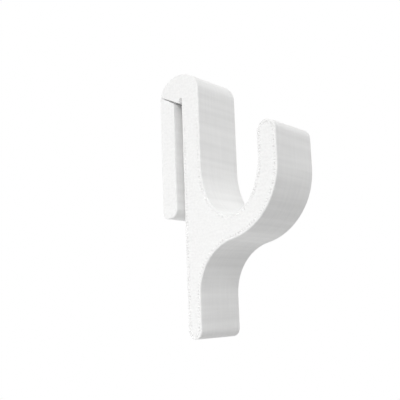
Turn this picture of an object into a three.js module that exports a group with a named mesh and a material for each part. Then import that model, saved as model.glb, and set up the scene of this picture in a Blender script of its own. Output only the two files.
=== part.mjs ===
// Over-panel shower hook, printed on its side in white plastic.
// A domed cap sits on the top edge of a shower panel. In front of the panel a back plate carries
// a U-shaped hook and runs down into a tail. Behind the panel hangs a lip, freed from the cap by
// a slanted relief cut and held by a thin web, so that it springs open over a thicker panel.
//
// Millimetres, +Z up. The origin is the middle of the slot, on the rib where the panel's edge seats.
// +X points out of the front of the hook and Y runs across its width.
// Every piece is an outline in the XZ plane, extruded along Y.

import * as THREE from 'three';

// Driving dimensions
const WIDTH = 24;               // hook, across Y
const PANEL_GAP = 4.4;          // slot for the panel, between back plate and lip
const PLATE_THICKNESS = 9.2;    // back plate beside the hook's mouth
const TAIL_THICKNESS = 7;       // back plate below the hook
const TAIL_STRAIGHT = 13.6;     // straight front of the tail, above its round end
const LIP_THICKNESS = 8;
const LIP_DROP = 48.9;          // round end of the lip, below the panel's edge
const MOUTH = 28.2;             // clear width between back plate and hook arm
const MOUTH_DROP = 28.6;        // where the mouth starts to curve, below the panel's edge
const SEAT_DEPTH = 21.8;        // depth of the half-ellipse at the bottom of the mouth
const ARM_THICKNESS = 8.6;
const ARM_STRAIGHT = 7.3;       // straight inner side of the hook arm, below its round tip
const OUTER_LAG = 4.5;          // start of the underside's curve, below that of the mouth
const OUTER_RADIUS = 27.3;      // convex underside of the hook
const BEND_RADIUS = 20.4;       // concave bend from the hook's underside into the tail
const DOME_BASE = 3.1;          // middle of the cap's half-ellipse, above the panel's edge
const DOME_RISE = 8.9;          // height of that half-ellipse
const CAP_EDGE = 0.9;           // upright rear edge of the cap, above the relief cut
const SEAT_LENGTH = 1.6;        // flat rib on the slot's ceiling that sits on the panel's edge
const CORNER_RELIEF = 1.3;      // groove between that rib and the back plate, in height
const RELIEF_UNDERCUT = 0.2;    // lean of that groove into the back plate, at its top
const KERF_RISE = 4;            // height of the relief cut's rear end, above the panel's edge
const KERF_GAP = 0.5;           // height of the relief cut at its rear end
const KERF_FLARE = 5;           // degrees by which the relief cut opens towards the slot
const SHOULDER_RADIUS = 4.5;    // top inner corner of the lip
const EDGE_RADIUS = 0.5;        // rear corners beside the relief cut
const WEB_THICKNESS = 0.8;      // hinge web, along X
const WEB_INSET = 1.5;          // hinge web, in from each side of the hook
const WHITE = 0xf4f4f2;
const ARC_STEPS = 18;           // pairs of facets in each arc

// Places along X, from the rear of the lip to the front of the hook arm
const lipRear = -PANEL_GAP / 2 - LIP_THICKNESS;
const lipInner = -PANEL_GAP / 2;
const seatRear = -SEAT_LENGTH / 2;
const seatFront = SEAT_LENGTH / 2;
const plateRear = PANEL_GAP / 2;
const tailFront = plateRear + TAIL_THICKNESS;
const plateFront = plateRear + PLATE_THICKNESS;
const armInner = plateFront + MOUTH;
const armOuter = armInner + ARM_THICKNESS;
const webRear = lipRear + EDGE_RADIUS;
const webFront = webRear + WEB_THICKNESS;

// Heights of the relief cut, which slopes down from the hinge web to the slot
const kerfTop = KERF_RISE;
const kerfBottom = KERF_RISE - KERF_GAP;
const kerfSlope = kerfTop / (seatRear - webFront);
const lipSlope = Math.tan(Math.atan(kerfSlope) + THREE.MathUtils.degToRad(KERF_FLARE));
const lipInnerTop = kerfBottom - lipSlope * (lipInner - webFront);

// Centres of the two arcs under the hook, which touch each other and the tail's front face
const outer = new THREE.Vector2(armOuter - OUTER_RADIUS, -MOUTH_DROP - OUTER_LAG);
const bendX = tailFront + BEND_RADIUS;
const bendDrop = Math.sqrt((OUTER_RADIUS + BEND_RADIUS) ** 2 - (bendX - outer.x) ** 2);
const bend = new THREE.Vector2(bendX, outer.y - bendDrop);
const bendToOuter = Math.atan2(outer.y - bend.y, outer.x - bend.x);

// Draws the line from the path's current point to a corner and rounds that corner towards next.
function roundCorner(path, corner, next, radius) {
  const arriving = path.currentPoint.clone().sub(corner).normalize();
  const leaving = next.clone().sub(corner).normalize();
  const halfAngle = Math.acos(arriving.dot(leaving)) / 2;
  const reach = radius / Math.tan(halfAngle);
  const start = corner.clone().addScaledVector(arriving, reach);
  const end = corner.clone().addScaledVector(leaving, reach);
  const middle = arriving.clone().add(leaving).normalize();
  const centre = corner.clone().addScaledVector(middle, radius / Math.sin(halfAngle));
  const startAngle = Math.atan2(start.y - centre.y, start.x - centre.x);
  const endAngle = Math.atan2(end.y - centre.y, end.x - centre.x);
  const clockwise = arriving.cross(leaving) > 0;
  path.lineTo(start.x, start.y);
  path.absarc(centre.x, centre.y, radius, startAngle, endAngle, clockwise);
}

// Outline of the hook body, counter-clockwise from the rear of the tail's round end.
function hookOutline() {
  const tailRadius = TAIL_THICKNESS / 2;
  const tailEnd = bend.y - TAIL_STRAIGHT;
  const armRadius = ARM_THICKNESS / 2;
  const tipHeight = -MOUTH_DROP + ARM_STRAIGHT;
  const domeHalf = (plateFront - lipRear) / 2;
  const domeMiddle = lipRear + domeHalf;
  const domeEnd = Math.PI - Math.asin((kerfTop + CAP_EDGE - DOME_BASE) / DOME_RISE);
  const capRear = domeMiddle + domeHalf * Math.cos(domeEnd);
  const outline = new THREE.Shape();
  outline.moveTo(plateRear, tailEnd);
  outline.absarc(plateRear + tailRadius, tailEnd, tailRadius, Math.PI, 2 * Math.PI, false);
  outline.absarc(bend.x, bend.y, BEND_RADIUS, Math.PI, bendToOuter, true);
  outline.absarc(outer.x, outer.y, OUTER_RADIUS, bendToOuter - Math.PI, 0, false);
  outline.absarc(armInner + armRadius, tipHeight, armRadius, 0, Math.PI, false);
  outline.absellipse(plateFront + MOUTH / 2, -MOUTH_DROP, MOUTH / 2, SEAT_DEPTH, 0, Math.PI, true);
  outline.absellipse(domeMiddle, DOME_BASE, domeHalf, DOME_RISE, 0, domeEnd, false);
  const rearCorner = new THREE.Vector2(capRear, kerfTop);
  const webCorner = new THREE.Vector2(webFront, kerfTop);
  roundCorner(outline, rearCorner, webCorner, EDGE_RADIUS);
  outline.lineTo(webFront, kerfTop);
  outline.lineTo(seatRear, 0);
  outline.lineTo(seatFront, 0);
  outline.lineTo(seatFront, CORNER_RELIEF);
  outline.lineTo(plateRear + RELIEF_UNDERCUT, CORNER_RELIEF);
  outline.lineTo(plateRear, 0);
  outline.closePath();
  return outline;
}

// Outline of the rear lip, counter-clockwise from the rear of its round end.
function lipOutline() {
  const lipRadius = LIP_THICKNESS / 2;
  const lipEnd = -LIP_DROP + lipRadius;
  const outline = new THREE.Shape();
  outline.moveTo(lipRear, lipEnd);
  outline.absarc(lipRear + lipRadius, lipEnd, lipRadius, Math.PI, 2 * Math.PI, false);
  const innerCorner = new THREE.Vector2(lipInner, lipInnerTop);
  const webCorner = new THREE.Vector2(webFront, kerfBottom);
  roundCorner(outline, innerCorner, webCorner, SHOULDER_RADIUS);
  outline.lineTo(webFront, kerfBottom);
  const rearCorner = new THREE.Vector2(lipRear, kerfBottom);
  const rearEnd = new THREE.Vector2(lipRear, lipEnd);
  roundCorner(outline, rearCorner, rearEnd, EDGE_RADIUS);
  outline.closePath();
  return outline;
}

// Section of the hinge web, which bridges the relief cut at its rear end.
function webOutline() {
  const outline = new THREE.Shape();
  outline.moveTo(webRear, kerfBottom);
  outline.lineTo(webFront, kerfBottom);
  outline.lineTo(webFront, kerfTop);
  outline.lineTo(webRear, kerfTop);
  outline.closePath();
  return outline;
}

// Extrudes an XZ outline along Y, centred on the hook's middle plane.
function piece(name, outline, width) {
  const geometry = new THREE.ExtrudeGeometry(outline, {
    depth: width,
    bevelEnabled: false,
    curveSegments: ARC_STEPS,
  });
  geometry.rotateX(Math.PI / 2);
  geometry.translate(0, width / 2, 0);
  const material = new THREE.MeshStandardMaterial({ color: WHITE, roughness: 0.6, metalness: 0 });
  const mesh = new THREE.Mesh(geometry, material);
  mesh.name = name;
  return mesh;
}

const hook = new THREE.Group();
hook.add(piece('hook_body', hookOutline(), WIDTH));
hook.add(piece('rear_lip', lipOutline(), WIDTH));
hook.add(piece('hinge_web', webOutline(), WIDTH - 2 * WEB_INSET));

export default hook;
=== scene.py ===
"""Shower hook that hangs over the top edge of a panel, printed on its side in white plastic.

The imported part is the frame. The printed meshes stand for its solids. They have the same outlines,
apart from a finer relief cut and a flatter lower end of the lip, and add the marks of the print:
layers across the width, rounded rims, beads and filling lines on both flat faces, and turning pits
on the face that was printed last. The hook's lengths are in millimetres up to the point where a
mesh is made, which is in metres like the frame. The camera and the studio are placed in metres.
"""

import logging
import math
from dataclasses import dataclass, field, replace
from enum import Enum, IntEnum

import bpy
import numpy as np
from mathutils import Matrix, Vector
from mathutils.geometry import delaunay_2d_cdt

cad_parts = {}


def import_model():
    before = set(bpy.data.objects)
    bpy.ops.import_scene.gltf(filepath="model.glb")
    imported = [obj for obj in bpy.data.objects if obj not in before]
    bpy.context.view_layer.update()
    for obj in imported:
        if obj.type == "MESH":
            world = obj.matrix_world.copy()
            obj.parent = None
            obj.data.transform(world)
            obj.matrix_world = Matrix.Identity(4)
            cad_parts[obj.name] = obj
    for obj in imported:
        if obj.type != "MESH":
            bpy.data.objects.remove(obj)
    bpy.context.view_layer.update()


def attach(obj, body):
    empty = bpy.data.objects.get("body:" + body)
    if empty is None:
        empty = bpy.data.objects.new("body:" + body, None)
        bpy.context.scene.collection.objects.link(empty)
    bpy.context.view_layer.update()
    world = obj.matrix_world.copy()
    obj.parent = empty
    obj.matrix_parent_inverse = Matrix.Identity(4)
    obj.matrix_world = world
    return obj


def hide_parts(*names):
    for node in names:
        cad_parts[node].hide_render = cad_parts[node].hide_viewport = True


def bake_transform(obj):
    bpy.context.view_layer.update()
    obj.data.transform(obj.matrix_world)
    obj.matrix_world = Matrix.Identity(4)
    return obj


LOG = logging.getLogger("shower_hook")
WHITE = (1.0, 1.0, 1.0, 1.0)

# Metres in a millimetre
MM = 0.001

# Points of an outline that lie closer than this, in millimetres, count as one
POINT_GAP = 0.001

# Least spread of the normals at a corner, so that the offset of a sharp corner stays short
LEAST_SPREAD = 0.35

# Fewest facets of an arc
LEAST_FACETS = 3

# Rise below which an edge counts as level, in millimetres
LEVEL_EDGE = 1e-12

# The triangulation fills the inside of its border, and joins points closer than this
FILL_INSIDE = 1
JOIN_GAP = 1e-7

# Points of a turning pit: share of its length, side, and share of its depth
PIT_FORM = (
    (0.0, 0.0, 0.0),
    (0.12, -1.0, 0.0),
    (0.12, 1.0, 0.0),
    (0.2, 0.0, 0.8),
    (0.5, -0.9, 0.0),
    (0.5, 0.9, 0.0),
    (0.5, 0.0, 1.0),
    (0.8, -0.6, 0.0),
    (0.8, 0.6, 0.0),
    (0.78, 0.0, 0.4),
    (1.0, 0.0, 0.0),
)


class PrintFace(Enum):
    """Which side of the print a flat face was: its last layer or its first."""

    TOP = "top"
    BED = "bed"


class Surface(IntEnum):
    """Kinds of surface, in the order of a mesh's materials."""

    WALL = 0
    FACE = 1
    CUT = 2
    SLOT = 3


class Ray(Enum):
    """Rays that see the white surroundings instead of the light that they give."""

    CAMERA = "Is Camera Ray"
    GLOSSY = "Is Glossy Ray"
    TRANSMISSION = "Is Transmission Ray"


@dataclass(frozen=True)
class HookSizes:
    """Driving sizes of the whole hook, in millimetres, as in the part's source."""

    width: float = 24.0
    panel_gap: float = 4.4
    plate_thickness: float = 9.2
    tail_thickness: float = 7.0
    tail_straight: float = 13.6
    lip_thickness: float = 8.0
    lip_drop: float = 48.9
    mouth: float = 28.2
    mouth_drop: float = 28.6
    seat_depth: float = 21.8
    arm_thickness: float = 8.6
    arm_straight: float = 7.3
    outer_lag: float = 4.5
    outer_radius: float = 27.3
    bend_radius: float = 20.4
    dome_base: float = 3.1
    dome_rise: float = 8.9
    cap_edge: float = 0.9
    rib_length: float = 1.6
    corner_relief: float = 1.3
    relief_undercut: float = 0.2
    kerf_rise: float = 4.0
    kerf_gap: float = 0.5
    edge_radius: float = 0.5
    web_thickness: float = 0.8
    web_inset: float = 1.5

    @property
    def plate_rear(self) -> float:
        """X of the face that lies on the panel's front."""
        return self.panel_gap / 2

    @property
    def plate_front(self) -> float:
        """X of the back plate's front face."""
        return self.plate_rear + self.plate_thickness

    @property
    def tail_front(self) -> float:
        """X of the tail's front face."""
        return self.plate_rear + self.tail_thickness

    @property
    def arm_inner(self) -> float:
        """X of the hook arm's inner face."""
        return self.plate_front + self.mouth

    @property
    def lip_inner(self) -> float:
        """X of the lip's face on the panel's rear."""
        return -self.panel_gap / 2

    @property
    def lip_rear(self) -> float:
        """X of the lip's rear face."""
        return self.lip_inner - self.lip_thickness

    @property
    def web_rear(self) -> float:
        """X of the hinge web's rear face."""
        return self.lip_rear + self.edge_radius

    @property
    def web_front(self) -> float:
        """X of the hinge web's front face."""
        return self.web_rear + self.web_thickness

    @property
    def kerf_bottom(self) -> float:
        """Height of the solid lip's top, under the hinge web."""
        return self.kerf_rise - self.kerf_gap


@dataclass(frozen=True)
class PrintSizes:
    """Sizes of the print's own marks, in millimetres.

    Places on the flat faces, whose names end in _at, are counted in beads from the outline.
    """

    layer: float = 0.3
    layer_groove: float = 0.022
    layer_wander: float = 0.008
    rim_radius: float = 0.55
    rim_steps: int = 4
    crisp_share: float = 0.3
    bead: float = 0.45
    bead_groove: float = 0.03
    bead_step: float = 1.5
    bed_share: float = 0.6
    groove_at: float = 1.5
    crest_at: float = 2.0
    filling_at: float = 2.9
    pit_at: float = 1.6
    slack: float = 0.02
    line_step: float = 0.7
    pit_pitch: float = 1.27
    pit_depth: float = 0.64
    pit_range: tuple[float, float] = (0.5, 1.1)
    pit_fade: tuple[float, float] = (-12.0, 0.0)
    pit_least: float = 0.1
    pit_length: float = 1.05
    pit_width: float = 0.7
    pit_clear: tuple[float, float] = (0.62, 1.25)
    facet: float = 1.9
    small_facet: float = 0.55
    dome_facet: float = 0.88
    edge_facet: float = 0.18
    seed: int = 11


class Outline:
    """A closed outline in the XZ plane, drawn counter-clockwise in millimetres."""

    def __init__(self) -> None:
        """Starts with no points."""
        self.points: list[tuple[float, float]] = []

    def to(self, x: float, z: float) -> None:
        """Draws a straight line to a point."""
        self.points.append((x, z))

    def arc(
        self,
        centre: tuple[float, float],
        radii: tuple[float, float],
        turn: tuple[float, float],
        facet: float,
    ) -> None:
        """Draws an elliptic arc in facets of an even angle.

        Args:
            centre: Middle of the ellipse.
            radii: Half its size along X and along Z.
            turn: First and last angle, in radians.
            facet: Length that a facet has at most, about.
        """
        length = abs(turn[1] - turn[0]) * (radii[0] + radii[1]) / 2
        steps = max(LEAST_FACETS, math.ceil(length / facet))
        for angle in np.linspace(turn[0], turn[1], steps + 1):
            x = centre[0] + radii[0] * math.cos(angle)
            z = centre[1] + radii[1] * math.sin(angle)
            self.points.append((x, z))

    def corner(
        self,
        corner: tuple[float, float],
        after: tuple[float, float],
        radius: float,
        facet: float,
    ) -> None:
        """Draws a line towards a corner and rounds the corner off.

        Args:
            corner: The sharp corner.
            after: The point that the outline goes to next.
            radius: Radius of the rounding.
            facet: Length that a facet has at most, about.
        """
        tip = Vector(corner)
        arriving = (Vector(self.points[-1]) - tip).normalized()
        leaving = (Vector(after) - tip).normalized()
        half = arriving.angle(leaving) / 2
        middle = tip + (arriving + leaving).normalized() * (radius / math.sin(half))
        reach = radius / math.tan(half)
        first = tip + arriving * reach - middle
        last = tip + leaving * reach - middle
        start = math.atan2(first.y, first.x)
        swing = math.remainder(math.atan2(last.y, last.x) - start, math.tau)
        self.arc(tuple(middle), (radius, radius), (start, start + swing), facet)

    def array(self) -> np.ndarray:
        """Gives the outline without repeated points.

        Returns:
            The points, closed from the last one to the first.
        """
        made = np.array(self.points)
        step = np.linalg.norm(made - np.roll(made, 1, axis=0), axis=1)
        return made[step > POINT_GAP]


def both_ends(points: np.ndarray) -> np.ndarray:
    """Tells which edges of a closed outline have both their ends among some points.

    Args:
        points: True for each point of the outline that counts.

    Returns:
        True for each edge, which runs from the point of the same index to the next.
    """
    return points & np.roll(points, -1)


def edge_normals(outline: np.ndarray) -> np.ndarray:
    """Finds how each point of an outline moves for an outward offset of 1.

    Args:
        outline: Points of a counter-clockwise outline.

    Returns:
        One vector for each point, longer at corners so that the edges stay parallel.
    """
    along = np.roll(outline, -1, axis=0) - outline
    along /= np.linalg.norm(along, axis=1)[:, None]
    outward = np.stack([along[:, 1], -along[:, 0]], axis=1)
    before = np.roll(outward, 1, axis=0)
    spread = 1 + (before * outward).sum(axis=1)
    return (before + outward) / np.maximum(spread, LEAST_SPREAD)[:, None]


def resampled(outline: np.ndarray, step: float) -> tuple[np.ndarray, np.ndarray]:
    """Walks round an outline in even steps.

    Args:
        outline: Points of a counter-clockwise outline.
        step: Length of a step, about.

    Returns:
        The points and the outward normals there.
    """
    closed = np.vstack([outline, outline[:1]])
    part = np.diff(closed, axis=0)
    length = np.linalg.norm(part, axis=1)
    reach = np.concatenate([[0.0], np.cumsum(length)])
    count = int(round(reach[-1] / step))
    walk = (np.arange(count) + 0.5) * reach[-1] / count
    edge = np.searchsorted(reach, walk, side="right") - 1
    share = (walk - reach[edge]) / length[edge]
    points = closed[edge] + part[edge] * share[:, None]
    along = part[edge] / length[edge][:, None]
    return points, np.stack([along[:, 1], -along[:, 0]], axis=1)


def depth_inside(points: np.ndarray, outline: np.ndarray) -> np.ndarray:
    """Measures how deep points lie inside an outline.

    Args:
        points: Points in the XZ plane.
        outline: Points of a closed outline.

    Returns:
        The distance to the outline, negative outside it.
    """
    part = np.roll(outline, -1, axis=0) - outline
    nearest = np.full(len(points), np.inf)
    crossings = np.zeros(len(points), int)
    for first, step in zip(outline, part):
        away = points - first
        share = np.clip(away @ step / (step @ step), 0, 1)
        nearest = np.minimum(nearest, np.linalg.norm(away - share[:, None] * step, axis=1))
        spans = (away[:, 1] >= 0) != (away[:, 1] >= step[1])
        if abs(step[1]) > LEVEL_EDGE:
            crossings += spans & (away[:, 0] < away[:, 1] * step[0] / step[1])
    return np.where(crossings % 2 == 1, nearest, -nearest)


@dataclass
class PitRow:
    """Pits that the filling lines leave where they turn at the rim's beads.

    Their reach is half the length and half the width that other points keep out of.
    """

    middles: np.ndarray
    outward: np.ndarray
    side: np.ndarray
    reach: tuple[float, float]
    places: np.ndarray
    depths: np.ndarray

    def clear(self, points: np.ndarray) -> np.ndarray:
        """Tells which points lie outside every pit.

        Args:
            points: Points in the XZ plane.

        Returns:
            True for each point that is out of the reach of all pits.
        """
        free = np.ones(len(points), bool)
        for middle, outward, side in zip(self.middles, self.outward, self.side):
            away = points - middle
            length = (away @ outward) / self.reach[0]
            width = (away @ side) / self.reach[1]
            free &= length**2 + width**2 > 1
        return free


@dataclass
class PrintedSolid:
    """An outline printed layer on layer across its width, as one closed mesh.

    Each point of the outline has its share of the rim's radius, and each edge its kind of surface.
    """

    outline: np.ndarray
    rim_share: np.ndarray
    surfaces: np.ndarray
    width: float
    marks: PrintSizes
    pit_share: float = 1.0
    points: list[np.ndarray] = field(default_factory=list)
    faces: list[tuple[int, ...]] = field(default_factory=list)
    slots: list[int] = field(default_factory=list)

    def rows(self) -> list[tuple[float, float]]:
        """Lists the rows of points across the width.

        Returns:
            The Y of each row and its outward offset: a rounded rim on each side, and in
            between a groove at each layer's border and a bulge in its middle.
        """
        marks = self.marks
        half = self.width / 2
        rim = []
        for step in range(marks.rim_steps + 1):
            angle = math.pi / 2 * step / marks.rim_steps
            inward = -marks.rim_radius * (1 - math.sin(angle))
            rim.append((half - marks.rim_radius * (1 - math.cos(angle)), inward))
        wander = np.random.default_rng(marks.seed)
        layers = int(round((self.width - 2 * marks.rim_radius) / marks.layer))
        height = (self.width - 2 * marks.rim_radius) / layers
        base = -half + marks.rim_radius
        wall = []
        for layer in range(layers):
            bulge = -marks.layer_wander * wander.random()
            wall.append((base + (layer + 0.5) * height, bulge))
            if layer + 1 < layers:
                wall.append((base + (layer + 1) * height, -marks.layer_groove))
        return [(-y, inward) for y, inward in rim] + wall + rim[::-1]

    def build(self) -> None:
        """Makes the wall and the two flat faces."""
        outward = edge_normals(self.outline)
        rim = outward * self.rim_share[:, None]
        rows = self.rows()
        for y, offset in rows:
            on_rim = abs(y) > self.width / 2 - self.marks.rim_radius
            ring = self.outline + (rim if on_rim else outward) * offset
            self.points.extend(np.stack([ring[:, 0], np.full(len(ring), y), ring[:, 1]], axis=1))
        count = len(self.outline)
        for row in range(len(rows) - 1):
            for one in range(count):
                two = (one + 1) % count
                near, far = row * count, (row + 1) * count
                self.faces.append((near + one, far + one, far + two, near + two))
                self.slots.append(int(self.surfaces[one]))
        border = self.outline - rim * self.marks.rim_radius
        self.flat_face(border, 0, -self.width / 2, PrintFace.TOP)
        self.flat_face(border, (len(rows) - 1) * count, self.width / 2, PrintFace.BED)

    def relief(self, kind: PrintFace) -> tuple[np.ndarray, np.ndarray]:
        """Places the points of a flat face and their depths below it.

        Args:
            kind: Which face of the print it is.

        Returns:
            Points in the XZ plane and the depth of each one.
        """
        marks = self.marks
        groove = marks.bead_groove * (marks.bed_share if kind is PrintFace.BED else 1.0)
        walk, outward = resampled(self.outline, marks.bead * marks.bead_step)
        places, depths = [], []
        least = [marks.groove_at, marks.crest_at, marks.filling_at]
        for beads, depth in ((marks.groove_at, groove), (marks.crest_at, 0.0)):
            places.append(walk - outward * beads * marks.bead)
            depths.append(np.full(len(walk), depth))
        filling, lines = self.filling(groove)
        places.append(filling)
        depths.append(lines)
        if kind is PrintFace.TOP:
            pits = self.turning_pits()
            free = [pits.clear(place) for place in places]
            places = [place[kept] for place, kept in zip(places, free)] + [pits.places]
            depths = [depth[kept] for depth, kept in zip(depths, free)] + [pits.depths]
            least.append(marks.pit_at)
        kept_places, kept_depths = [], []
        for place, depth, beads in zip(places, depths, least):
            inside = depth_inside(place, self.outline) > beads * marks.bead - marks.slack
            kept_places.append(place[inside])
            kept_depths.append(depth[inside])
        return np.vstack(kept_places), np.concatenate(kept_depths)

    def turning_pits(self) -> PitRow:
        """Places the pits all round the outline, shallower towards the cap.

        Returns:
            The row of pits, uneven in depth and with room round each one.
        """
        marks = self.marks
        walk, outward = resampled(self.outline, marks.pit_pitch)
        side = np.stack([-outward[:, 1], outward[:, 0]], axis=1)
        start, half = marks.pit_at * marks.bead, marks.pit_width / 2
        uneven = np.random.default_rng(marks.seed).uniform(*marks.pit_range, len(walk))
        uneven *= np.interp(walk[:, 1], marks.pit_fade, (self.pit_share, marks.pit_least))
        places, depths = [], []
        for share, spread, depth in PIT_FORM:
            inward = start + share * marks.pit_length
            places.append(walk - outward * inward + side * spread * half)
            depths.append(depth * marks.pit_depth * uneven)
        return PitRow(
            middles=walk - outward * (start + 0.5 * marks.pit_length),
            outward=outward,
            side=side,
            reach=(marks.pit_clear[0] * marks.pit_length, marks.pit_clear[1] * half),
            places=np.vstack(places),
            depths=np.concatenate(depths),
        )

    def filling(self, groove: float) -> tuple[np.ndarray, np.ndarray]:
        """Lays the diagonal filling lines over the outline's box.

        Args:
            groove: Depth between two lines.

        Returns:
            Points along the lines' crests and grooves, and the depth of each one.
        """
        marks = self.marks
        low, high = self.outline.min(axis=0), self.outline.max(axis=0)
        reach = np.linalg.norm(high - low) / 2
        across = np.arange(-reach, reach, marks.bead / 2)
        along = np.arange(-reach, reach, marks.line_step)
        row, step = np.meshgrid(np.arange(len(across)), along, indexing="ij")
        u = step + (row % 2) * marks.line_step / 2
        v = across[row]
        middle = (low + high) / 2
        x = middle[0] + (u + v) * math.sqrt(0.5)
        z = middle[1] + (u - v) * math.sqrt(0.5)
        places = np.stack([x.ravel(), z.ravel()], axis=1)
        return places, np.where(row.ravel() % 2 == 1, groove, 0.0)

    def flat_face(self, border: np.ndarray, first: int, y: float, kind: PrintFace) -> None:
        """Fills one side of the print with its beads, filling lines and pits.

        Args:
            border: Outline of the face, inside the rim.
            first: Index of the border's first point in the mesh.
            y: Place of the face across the width.
            kind: Which face of the print it is.
        """
        places, depths = self.relief(kind)
        corners = [Vector(p) for p in np.vstack([border, places])]
        edge = list(range(len(border)))
        filled = delaunay_2d_cdt(corners, [], [edge], FILL_INSIDE, JOIN_GAP)
        made, _, triangles, origins, _, _ = filled
        inward = -math.copysign(1.0, y)
        index = []
        for place, origin in zip(made, origins):
            source = min(origin) if origin else -1
            if 0 <= source < len(border):
                index.append(first + source)
                continue
            depth = depths[source - len(border)] if source >= 0 else 0.0
            index.append(len(self.points))
            self.points.append(np.array([place.x, y + inward * depth, place.y]))
        for a, b, c in triangles:
            turned = (a, b, c) if y < 0 else (a, c, b)
            self.faces.append(tuple(index[i] for i in turned))
            self.slots.append(int(Surface.FACE))

    def to_object(self, name: str, finishes: list[bpy.types.Material]) -> bpy.types.Object:
        """Makes the mesh object, in metres.

        Args:
            name: Name of the piece.
            finishes: One material for each kind of surface.

        Returns:
            The new object, linked to the scene.
        """
        mesh = bpy.data.meshes.new(name)
        corners = (np.array(self.points) * MM).tolist()
        mesh.from_pydata(corners, [], self.faces)
        for finish in finishes:
            mesh.materials.append(finish)
        mesh.polygons.foreach_set("material_index", self.slots)
        mesh.validate()
        mesh.update()
        piece = bpy.data.objects.new(name, mesh)
        bpy.context.scene.collection.objects.link(piece)
        return piece


@dataclass(frozen=True)
class WhitePrint:
    """White printed plastic: two tones, soft gloss and fine unevenness.

    A glow above 0 lets light through the plastic, and glow_depth is how far, in millimetres.
    """

    name: str
    light: tuple[float, float, float]
    shade: tuple[float, float, float]
    grain: tuple[float, float, float]
    drift: tuple[float, float, float]
    turn: float
    rough: tuple[float, float]
    bump: float
    grain_share: float = 0.35
    glow: float = 0.0
    glow_depth: float = 12.0
    specular: float = 0.3
    detail: float = 3.0
    tone_range: tuple[float, float] = (0.36, 0.62)
    gloss_range: tuple[float, float] = (0.3, 0.7)
    skin_scale: float = 3200.0
    skin_depth: float = 0.05

    def material(self) -> bpy.types.Material:
        """Builds the node material.

        Returns:
            The material, with its tone, gloss and bump from noise in the frame's space.
        """
        made = bpy.data.materials.new(self.name)
        made.use_nodes = True
        tree = made.node_tree
        shader = tree.nodes["Principled BSDF"]
        shader.inputs["Specular IOR Level"].default_value = self.specular
        if self.glow > 0.0:
            shader.inputs["Subsurface Weight"].default_value = self.glow
            shader.inputs["Subsurface Radius"].default_value = (1.0, 1.0, 1.0)
            shader.inputs["Subsurface Scale"].default_value = self.glow_depth * MM
        place = tree.nodes.new("ShaderNodeTexCoord").outputs["Object"]
        streak = self.noise(tree, place, self.grain, self.turn)
        cloud = self.noise(tree, place, self.drift)
        blend = self.blended(tree, streak, cloud)
        tree.links.new(self.tone(tree, blend), shader.inputs["Base Color"])
        tree.links.new(self.gloss(tree, blend), shader.inputs["Roughness"])
        tree.links.new(self.skin(tree, place), shader.inputs["Normal"])
        return made

    def noise(
        self,
        tree: bpy.types.NodeTree,
        place: bpy.types.NodeSocket,
        scale: tuple[float, float, float],
        turn: float = 0.0,
    ) -> bpy.types.NodeSocket:
        """Adds noise that can be longer one way than another.

        Args:
            tree: Node tree of the material.
            place: Socket with the place on the piece.
            scale: Number of noise cells to a metre along each axis.
            turn: Turn of the cells about Y, in radians.

        Returns:
            The noise, from 0 to 1.
        """
        lay = tree.nodes.new("ShaderNodeMapping")
        lay.inputs["Rotation"].default_value = (0.0, turn, 0.0)
        lay.inputs["Scale"].default_value = scale
        tree.links.new(place, lay.inputs["Vector"])
        cells = tree.nodes.new("ShaderNodeTexNoise")
        cells.inputs["Scale"].default_value = 1.0
        cells.inputs["Detail"].default_value = self.detail
        tree.links.new(lay.outputs["Vector"], cells.inputs["Vector"])
        return cells.outputs["Fac"]

    def blended(
        self,
        tree: bpy.types.NodeTree,
        streak: bpy.types.NodeSocket,
        cloud: bpy.types.NodeSocket,
    ) -> bpy.types.NodeSocket:
        """Adds the two noises together by their shares.

        Args:
            tree: Node tree of the material.
            streak: The fine noise.
            cloud: The wide noise.

        Returns:
            The blend, from 0 to 1.
        """
        wide = tree.nodes.new("ShaderNodeMath")
        wide.operation = "MULTIPLY"
        wide.inputs[1].default_value = 1.0 - self.grain_share
        tree.links.new(cloud, wide.inputs[0])
        both = tree.nodes.new("ShaderNodeMath")
        both.operation = "MULTIPLY_ADD"
        both.inputs[1].default_value = self.grain_share
        tree.links.new(streak, both.inputs[0])
        tree.links.new(wide.outputs["Value"], both.inputs[2])
        return both.outputs["Value"]

    def tone(self, tree: bpy.types.NodeTree, blend: bpy.types.NodeSocket) -> bpy.types.NodeSocket:
        """Adds the ramp between the plastic's two tones.

        Args:
            tree: Node tree of the material.
            blend: The blend of the two noises.

        Returns:
            The colour.
        """
        ramp = tree.nodes.new("ShaderNodeValToRGB")
        ends = zip(ramp.color_ramp.elements, self.tone_range, (self.shade, self.light))
        for end, position, colour in ends:
            end.position = position
            end.color = (*colour, 1.0)
        tree.links.new(blend, ramp.inputs["Fac"])
        return ramp.outputs["Color"]

    def gloss(self, tree: bpy.types.NodeTree, blend: bpy.types.NodeSocket) -> bpy.types.NodeSocket:
        """Adds a roughness that goes with the tone.

        Args:
            tree: Node tree of the material.
            blend: The blend of the two noises.

        Returns:
            The roughness.
        """
        spread = tree.nodes.new("ShaderNodeMapRange")
        spread.inputs["From Min"].default_value = self.gloss_range[0]
        spread.inputs["From Max"].default_value = self.gloss_range[1]
        spread.inputs["To Min"].default_value = self.rough[0]
        spread.inputs["To Max"].default_value = self.rough[1]
        tree.links.new(blend, spread.inputs["Value"])
        return spread.outputs["Result"]

    def skin(self, tree: bpy.types.NodeTree, place: bpy.types.NodeSocket) -> bpy.types.NodeSocket:
        """Adds the finest unevenness of the plastic.

        Args:
            tree: Node tree of the material.
            place: Socket with the place on the piece.

        Returns:
            The bent normal.
        """
        raised = tree.nodes.new("ShaderNodeBump")
        raised.inputs["Strength"].default_value = self.bump
        raised.inputs["Distance"].default_value = self.skin_depth * MM
        height = self.noise(tree, place, (self.skin_scale, self.skin_scale, self.skin_scale))
        tree.links.new(height, raised.inputs["Height"])
        return raised.outputs["Normal"]


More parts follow.
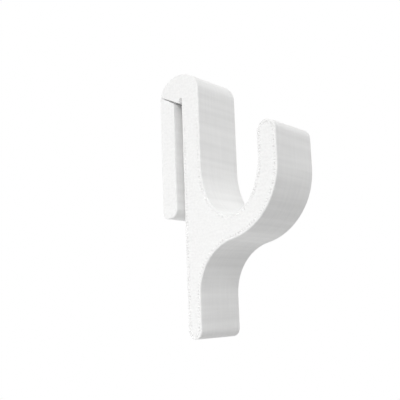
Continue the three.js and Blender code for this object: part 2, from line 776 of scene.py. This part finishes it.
LAYER_WALL = WhitePrint(
    name="layer_wall",
    light=(0.92, 0.92, 0.915),
    shade=(0.85, 0.85, 0.845),
    grain=(60.0, 900.0, 60.0),
    drift=(420.0, 16.0, 420.0),
    turn=0.0,
    rough=(0.48, 0.6),
    bump=0.25,
)
PRINT_FACE = WhitePrint(
    name="print_face",
    light=(0.92, 0.92, 0.915),
    shade=(0.86, 0.86, 0.855),
    grain=(250.0, 500.0, 1400.0),
    drift=(1000.0, 1000.0, 1000.0),
    turn=math.radians(45),
    rough=(0.55, 0.7),
    bump=0.2,
)

# Light that comes through the print lifts the walls that the lamps hardly reach
CUT_WALL = replace(LAYER_WALL, name="cut_wall", glow=1.0)
SLOT_WALL = replace(LAYER_WALL, name="slot_wall", glow=0.5)
FINISHES = {
    Surface.WALL: LAYER_WALL,
    Surface.FACE: PRINT_FACE,
    Surface.CUT: CUT_WALL,
    Surface.SLOT: SLOT_WALL,
}


@dataclass
class HookBody:
    """Cap, back plate, U-shaped arm and tail, in one piece."""

    sizes: HookSizes
    marks: PrintSizes
    name: str = "hook_body_print"
    cut_margin: float = 0.1

    def outline(self) -> np.ndarray:
        """Draws the outline from the rear of the tail's round end.

        Returns:
            The points of the closed outline.
        """
        s, facet, small = self.sizes, self.marks.facet, self.marks.small_facet
        outer_x = s.arm_inner + s.arm_thickness - s.outer_radius
        outer = Vector((outer_x, -s.mouth_drop - s.outer_lag))
        bend_x = s.tail_front + s.bend_radius
        drop = math.sqrt((s.outer_radius + s.bend_radius) ** 2 - (bend_x - outer.x) ** 2)
        bend = Vector((bend_x, outer.y - drop))
        meet = math.atan2(outer.y - bend.y, outer.x - bend.x)
        tail_end = bend.y - s.tail_straight
        tail = s.tail_thickness / 2
        arm = s.arm_thickness / 2
        dome_half = (s.plate_front - s.lip_rear) / 2
        dome = (s.lip_rear + dome_half, s.dome_base)
        dome_end = math.pi - math.asin((s.kerf_rise + s.cap_edge - s.dome_base) / s.dome_rise)
        cap_rear = dome[0] + dome_half * math.cos(dome_end)
        made = Outline()
        made.arc((s.plate_rear + tail, tail_end), (tail, tail), (math.pi, math.tau), small)
        made.arc(tuple(bend), (s.bend_radius, s.bend_radius), (math.pi, meet), facet)
        made.arc(tuple(outer), (s.outer_radius, s.outer_radius), (meet - math.pi, 0.0), facet)
        tip = (s.arm_inner + arm, -s.mouth_drop + s.arm_straight)
        made.arc(tip, (arm, arm), (0.0, math.pi), small)
        seat = (s.plate_front + s.mouth / 2, -s.mouth_drop)
        made.arc(seat, (s.mouth / 2, s.seat_depth), (0.0, -math.pi), facet)
        made.arc(dome, (dome_half, s.dome_rise), (0.0, dome_end), self.marks.dome_facet)
        made.corner(
            (cap_rear, s.kerf_rise),
            (s.web_front, s.kerf_rise),
            s.edge_radius,
            self.marks.edge_facet,
        )
        made.to(s.web_front, s.kerf_rise)
        made.to(-s.rib_length / 2, 0.0)
        made.to(s.rib_length / 2, 0.0)
        made.to(s.rib_length / 2, s.corner_relief)
        made.to(s.plate_rear + s.relief_undercut, s.corner_relief)
        made.to(s.plate_rear, 0.0)
        return made.array()

    def build(self, finishes: list[bpy.types.Material]) -> bpy.types.Object:
        """Builds the printed body in place of its solid.

        Args:
            finishes: One material for each kind of surface.

        Returns:
            The piece, riding on the hook.
        """
        s, outline = self.sizes, self.outline()
        x, z = outline.T
        at_cut = (z > -self.cut_margin) & (z < s.kerf_rise + self.cut_margin)
        at_cut &= x < s.plate_rear + s.relief_undercut + self.cut_margin
        share = np.where(at_cut, self.marks.crisp_share, 1.0)
        surfaces = np.where(both_ends(at_cut), Surface.CUT, Surface.WALL)
        solid = PrintedSolid(outline, share, surfaces, s.width, self.marks)
        solid.build()
        piece = solid.to_object(self.name, finishes)
        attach(piece, "hook")
        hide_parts("hook_body")
        return piece


@dataclass
class RearLip:
    """The bar that springs against the panel's rear face.

    Its relief cut is finer than the solid's and still leaves the lip room to close. Its lower end
    is flatter and a little shorter.
    """

    sizes: HookSizes
    marks: PrintSizes
    name: str = "rear_lip_print"
    cut_gap: float = 0.08
    cut_flare: float = 3.9
    shoulder: float = 1.2
    rear_round: float = 2.4
    inner_round: float = 3.6
    end_rise: float = 0.5
    pit_share: float = 0.25

    def outline(self) -> np.ndarray:
        """Draws the outline from the rear of the lip's rounded end.

        Returns:
            The points of the closed outline.
        """
        s, small = self.sizes, self.marks.small_facet
        slope = s.kerf_rise / (-s.rib_length / 2 - s.web_front)
        slope = math.tan(math.atan(slope) + math.radians(self.cut_flare))
        top = s.kerf_rise - self.cut_gap
        inner_top = top - slope * (s.lip_inner - s.web_front)
        end = -s.lip_drop + self.end_rise
        made = Outline()
        made.to(s.lip_rear, end + self.rear_round)
        made.corner((s.lip_rear, end), (s.lip_inner, end), self.rear_round, small)
        made.corner((s.lip_inner, end), (s.lip_inner, inner_top), self.inner_round, small)
        made.corner((s.lip_inner, inner_top), (s.web_front, top), self.shoulder, small)
        made.to(s.web_front, top)
        made.corner((s.lip_rear, top), (s.lip_rear, end), s.edge_radius, self.marks.edge_facet)
        return made.array()

    def build(self, finishes: list[bpy.types.Material]) -> bpy.types.Object:
        """Builds the printed lip in place of its solid.

        Args:
            finishes: One material for each kind of surface.

        Returns:
            The piece, riding on the lip.
        """
        outline = self.outline()
        s, (x, z) = self.sizes, outline.T
        at_cut = z > -s.kerf_rise
        share = np.where(at_cut, self.marks.crisp_share, 1.0)
        at_slot = both_ends(at_cut | (x > s.lip_inner - POINT_GAP))
        surfaces = np.where(at_slot, Surface.SLOT, Surface.WALL)
        surfaces = np.where(both_ends(at_cut), Surface.CUT, surfaces)
        solid = PrintedSolid(outline, share, surfaces, s.width, self.marks, self.pit_share)
        solid.build()
        piece = solid.to_object(self.name, finishes)
        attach(piece, "lip")
        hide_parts("rear_lip")
        return piece


@dataclass
class HingeWeb:
    """The thin strip that joins the lip to the cap and bends with it."""

    sizes: HookSizes
    marks: PrintSizes
    name: str = "hinge_web_print"
    waist: float = 0.12
    sink: float = 0.08
    steps: int = 8
    groove_share: float = 0.02

    @property
    def middle(self) -> float:
        """X of the strip's middle."""
        return (self.sizes.web_rear + self.sizes.web_front) / 2

    @property
    def half_width(self) -> float:
        """Half the strip's length across the hook."""
        return self.sizes.width / 2 - self.sizes.web_inset

    @property
    def layers(self) -> int:
        """Number of printed layers in the strip."""
        return int(round(2 * self.half_width / self.marks.layer))

    def outline(self) -> np.ndarray:
        """Draws the strip's section, waisted where it bends.

        Returns:
            The points of the closed outline.
        """
        s = self.sizes
        low, high = s.kerf_bottom - self.sink, s.kerf_rise + self.sink
        rise = np.linspace(0.0, 1.0, self.steps + 1)
        hollow = self.waist * np.sin(math.pi * rise)
        front = np.stack([s.web_front - hollow, low + (high - low) * rise], axis=1)
        rear = np.stack([s.web_rear + hollow, low + (high - low) * rise], axis=1)
        return np.vstack([front, rear[::-1]])

    def strip(self) -> tuple[list[tuple[float, float, float]], list[tuple[int, ...]]]:
        """Lays the section in rows across the width, narrower at the layers' borders.

        Returns:
            The points, in metres, and the faces of the closed strip.
        """
        outline = self.outline()
        count = len(outline)
        points, faces = [], []
        for row in range(2 * self.layers + 1):
            y = -self.half_width + self.half_width * row / self.layers
            inset = 1.0 - (self.groove_share if row % 2 == 0 else 0.0)
            x = self.middle + (outline[:, 0] - self.middle) * inset
            points.extend(zip(x * MM, np.full(count, y * MM), outline[:, 1] * MM))
        for row in range(2 * self.layers):
            near, far = row * count, (row + 1) * count
            for one in range(count):
                two = (one + 1) % count
                faces.append((near + one, far + one, far + two, near + two))
        end = 2 * self.layers * count
        for step in range(self.steps):
            a, b, c, d = step, step + 1, count - 2 - step, count - 1 - step
            faces.append((a, b, c, d))
            faces.append((end + d, end + c, end + b, end + a))
        return points, faces

    def build(self, finishes: list[bpy.types.Material]) -> bpy.types.Object:
        """Builds the strip in place of its solid, between the hook and the lip.

        Args:
            finishes: One material for each kind of surface.

        Returns:
            The piece, which stays in place in the world and is carried by neither body.
        """
        points, faces = self.strip()
        mesh = bpy.data.meshes.new(self.name)
        mesh.from_pydata(points, [], faces)
        mesh.materials.append(finishes[Surface.WALL])
        mesh.validate()
        mesh.update()
        piece = bpy.data.objects.new(self.name, mesh)
        bpy.context.scene.collection.objects.link(piece)
        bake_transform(piece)
        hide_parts("hinge_web")
        return piece


def direction(azimuth: float, elevation: float) -> Vector:
    """Points away from the hook.

    Args:
        azimuth: Degrees round the hook from its near side, towards its front.
        elevation: Degrees above the horizon.

    Returns:
        A vector of length 1.
    """
    turn, rise = math.radians(azimuth), math.radians(elevation)
    return Vector(
        (math.sin(turn) * math.cos(rise), -math.cos(turn) * math.cos(rise), math.sin(rise))
    )


@dataclass
class PhotoCamera:
    """The camera, placed round the point that it aims at."""

    aim: tuple[float, float, float] = (0.0, 0.0, -0.0402)
    azimuth: float = 41.45
    elevation: float = -9.54
    roll: float = -1.94
    distance: float = 0.2636
    lens: float = 56.2
    sensor: float = 36.0
    clip_start: float = 0.01

    def build(self) -> None:
        """Makes the camera and gives it to the scene."""
        back = direction(self.azimuth, self.elevation)
        data = bpy.data.cameras.new("photo_camera")
        data.lens = self.lens
        data.sensor_width = self.sensor
        data.clip_start = self.clip_start
        camera = bpy.data.objects.new("photo_camera", data)
        level = (-back).to_track_quat("-Z", "Y").to_matrix()
        rolled = level @ Matrix.Rotation(math.radians(self.roll), 3, "Z")
        place = Vector(self.aim) + back * self.distance
        camera.matrix_world = Matrix.Translation(place) @ rolled.to_4x4()
        bpy.context.scene.collection.objects.link(camera)
        bpy.context.scene.camera = camera


@dataclass(frozen=True)
class SoftLamp:
    """A square soft lamp that faces the hook."""

    name: str
    azimuth: float
    elevation: float
    power: float
    distance: float = 0.8
    size: float = 0.45
    aim: tuple[float, float, float] = (0.02, 0.0, -0.045)

    def build(self) -> None:
        """Makes the lamp and turns it to the hook."""
        data = bpy.data.lights.new(self.name, "AREA")
        data.size = self.size
        data.energy = self.power
        lamp = bpy.data.objects.new(self.name, data)
        away = direction(self.azimuth, self.elevation)
        lamp.location = Vector(self.aim) + away * self.distance
        lamp.rotation_mode = "QUATERNION"
        lamp.rotation_quaternion = (-away).to_track_quat("-Z", "Y")
        bpy.context.scene.collection.objects.link(lamp)


def seen_share(tree: bpy.types.NodeTree) -> bpy.types.NodeSocket:
    """Adds the nodes that tell rays that see the white surroundings.

    Args:
        tree: Node tree of the world or of the floor.

    Returns:
        A socket that is 1 for those rays and 0 for the light's own.
    """
    path = tree.nodes.new("ShaderNodeLightPath")
    share = path.outputs[Ray.CAMERA.value]
    for ray in (Ray.GLOSSY, Ray.TRANSMISSION):
        larger = tree.nodes.new("ShaderNodeMath")
        larger.operation = "MAXIMUM"
        tree.links.new(share, larger.inputs[0])
        tree.links.new(path.outputs[ray.value], larger.inputs[1])
        share = larger.outputs["Value"]
    return share


@dataclass
class Studio:
    """White surroundings, a pale floor and soft lamps."""

    ambient: float = 0.48
    floor_middle: tuple[float, float, float] = (0.02, 0.0, -0.5)
    floor_radius: float = 1.2
    floor_sides: int = 96
    floor_paint: tuple[float, float, float, float] = (0.71, 0.71, 0.71, 1.0)
    floor_lift: float = 0.12
    floor_fade: tuple[float, float] = (0.35, 0.9)
    lamps: tuple[SoftLamp, ...] = (
        SoftLamp("side_lamp", -25.0, -25.0, 0.72, distance=0.45, size=0.25),
        SoftLamp("front_lamp", 36.0, 26.0, 2.0),
        SoftLamp("top_lamp", 40.0, 75.0, 1.7),
        SoftLamp("back_lamp", 180.0, 10.0, 1.9),
    )

    def build(self) -> None:
        """Makes the surroundings, the floor and the lamps."""
        self.surroundings()
        self.floor()
        for lamp in self.lamps:
            lamp.build()

    def surroundings(self) -> None:
        """Makes a world that looks white and lights at the ambient level."""
        world = bpy.data.worlds.new("white_studio")
        bpy.context.scene.world = world
        world.use_nodes = True
        tree = world.node_tree
        tree.nodes.clear()
        light = tree.nodes.new("ShaderNodeBackground")
        light.inputs["Color"].default_value = WHITE
        light.inputs["Strength"].default_value = self.ambient
        seen = tree.nodes.new("ShaderNodeBackground")
        seen.inputs["Color"].default_value = WHITE
        seen.inputs["Strength"].default_value = 1.0
        mix = tree.nodes.new("ShaderNodeMixShader")
        out = tree.nodes.new("ShaderNodeOutputWorld")
        tree.links.new(seen_share(tree), mix.inputs["Fac"])
        tree.links.new(light.outputs["Background"], mix.inputs[1])
        tree.links.new(seen.outputs["Background"], mix.inputs[2])
        tree.links.new(mix.outputs["Shader"], out.inputs["Surface"])

    def floor(self) -> None:
        """Makes the pale round floor."""
        turn = np.linspace(0.0, math.tau, self.floor_sides, endpoint=False)
        rim = np.stack([np.cos(turn), np.sin(turn), np.zeros(self.floor_sides)], axis=1)
        mesh = bpy.data.meshes.new("floor")
        corners = (rim * self.floor_radius).tolist()
        mesh.from_pydata(corners, [], [tuple(range(self.floor_sides))])
        mesh.materials.append(self.floor_finish())
        floor = bpy.data.objects.new("floor", mesh)
        floor.location = self.floor_middle
        bpy.context.scene.collection.objects.link(floor)

    def floor_finish(self) -> bpy.types.Material:
        """Builds the floor's paint, which fades into the white surroundings at the rim.

        Returns:
            The material. It looks paler than the paint that sends light back to the hook.
        """
        finish = bpy.data.materials.new("pale_floor")
        finish.use_nodes = True
        tree = finish.node_tree
        tree.nodes.clear()
        paint = tree.nodes.new("ShaderNodeBsdfDiffuse")
        paint.inputs["Color"].default_value = self.floor_paint
        lift = tree.nodes.new("ShaderNodeEmission")
        lift.inputs["Strength"].default_value = self.floor_lift
        lifted = tree.nodes.new("ShaderNodeAddShader")
        tree.links.new(paint.outputs["BSDF"], lifted.inputs[0])
        tree.links.new(lift.outputs["Emission"], lifted.inputs[1])
        white = tree.nodes.new("ShaderNodeEmission")
        white.inputs["Strength"].default_value = 1.0
        space = tree.nodes.new("ShaderNodeTexCoord")
        length = tree.nodes.new("ShaderNodeVectorMath")
        length.operation = "LENGTH"
        tree.links.new(space.outputs["Object"], length.inputs[0])
        fade = tree.nodes.new("ShaderNodeMapRange")
        fade.interpolation_type = "SMOOTHSTEP"
        fade.inputs["From Min"].default_value = self.floor_radius * self.floor_fade[0]
        fade.inputs["From Max"].default_value = self.floor_radius * self.floor_fade[1]
        tree.links.new(length.outputs["Value"], fade.inputs["Value"])
        pale = tree.nodes.new("ShaderNodeMixShader")
        tree.links.new(fade.outputs["Result"], pale.inputs["Fac"])
        tree.links.new(lifted.outputs["Shader"], pale.inputs[1])
        tree.links.new(white.outputs["Emission"], pale.inputs[2])
        mix = tree.nodes.new("ShaderNodeMixShader")
        out = tree.nodes.new("ShaderNodeOutputMaterial")
        tree.links.new(seen_share(tree), mix.inputs["Fac"])
        tree.links.new(paint.outputs["BSDF"], mix.inputs[1])
        tree.links.new(pale.outputs["Shader"], mix.inputs[2])
        tree.links.new(mix.outputs["Shader"], out.inputs["Surface"])
        return finish


def main() -> None:
    """Builds the hook's pieces, the studio and the camera."""
    logging.basicConfig(level=logging.INFO, format="%(name)s: %(message)s")
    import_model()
    sizes, marks = HookSizes(), PrintSizes()
    finishes = [FINISHES[surface].material() for surface in Surface]
    for part in (HookBody(sizes, marks), RearLip(sizes, marks), HingeWeb(sizes, marks)):
        piece = part.build(finishes)
        LOG.info("%s: %d faces", piece.name, len(piece.data.polygons))
    PhotoCamera().build()
    Studio().build()
    bpy.context.scene.view_settings.view_transform = "Standard"


if __name__ == "__main__":
    main()
